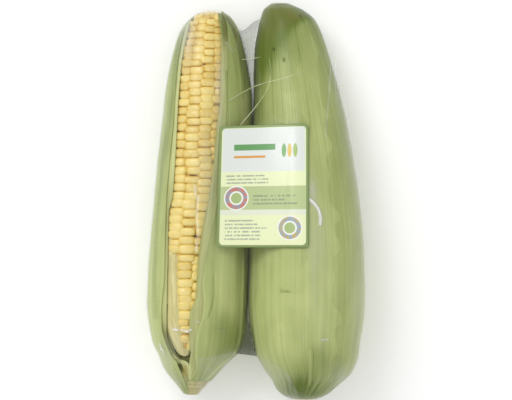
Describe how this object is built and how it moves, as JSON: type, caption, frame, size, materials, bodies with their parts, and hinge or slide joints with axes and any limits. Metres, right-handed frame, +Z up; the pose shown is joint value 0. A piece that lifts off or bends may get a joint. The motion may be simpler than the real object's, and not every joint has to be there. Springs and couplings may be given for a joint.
{
  "type": "film wrapped sweetcorn ears",
  "caption": "Fresh sweetcorn ears in green husks, lying side by side in clear shrink film under a stick-on label, with one husk cut open to show the kernels.",
  "frame": {"origin": "under the middle of the bounding box, on the surface that the pack lies on", "axes": "+X across the pack from the opened ear to the closed one, +Y along the ears from their stems to their trimmed tips, +Z up, towards the side with the label"},
  "size_m": [0.1319, 0.2398, 0.0698],
  "materials": {
    "pack": "green corn husk under tight, clear, glossy film",
    "label": "glossy coated paper in pale greens, with a white panel",
    "husk": "fresh ribbed leaf, satin",
    "kernels": "plump and glossy, pale yellow",
    "film": "thin, clear and glossy, with wrinkles",
    "silk": "fine pale strands"
  },
  "bodies": {
    "root": {"film_pack": "pack", "label": "label"}
  },
  "joints": []
}
